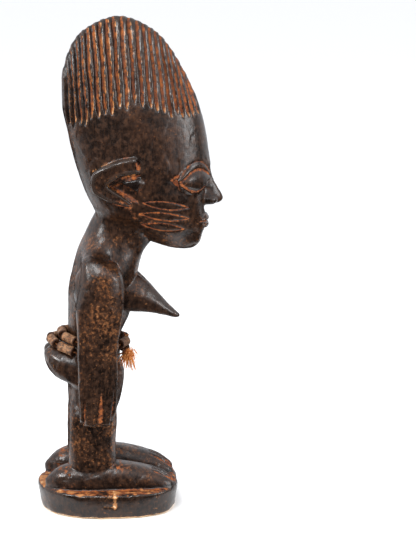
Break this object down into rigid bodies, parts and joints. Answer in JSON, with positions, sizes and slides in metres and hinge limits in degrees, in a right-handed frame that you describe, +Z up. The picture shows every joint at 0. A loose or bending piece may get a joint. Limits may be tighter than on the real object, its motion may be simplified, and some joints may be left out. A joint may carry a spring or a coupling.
{
  "type": "ibeji figure",
  "caption": "Carved wooden standing twin figure on a round plinth, with a tall fluted crest of hair, long arms at its sides and strands of tube beads tied round its hips.",
  "frame": {"origin": "centre of the plinth's flat underside", "axes": "+Z up, the figure faces -Y, and its right side is at -X"},
  "size_m": [0.0742, 0.1099, 0.2916],
  "materials": {
    "wood": "dark handled patina, satin on high spots, orange-brown residue in the grooves",
    "beads": null,
    "string": "matte orange-brown palm fibre with frayed ends"
  },
  "bodies": {
    "root": {"figure": "wood", "bead_upper_01": "beads", "bead_upper_02": "beads", "bead_upper_03": "beads", "bead_upper_04": "beads", "bead_upper_05": "beads", "bead_upper_06": "beads", "bead_upper_07": "beads", "bead_upper_08": "beads", "bead_upper_09": "beads", "bead_lower_01": "beads", "bead_lower_02": "beads", "bead_lower_03": "beads", "bead_lower_04": "beads", "bead_lower_05": "beads", "bead_lower_06": "beads", "bead_lower_07": "beads", "bead_lower_08": "beads", "bead_lower_09": "beads", "string_upper": "string", "string_lower": "string"}
  },
  "joints": []
}
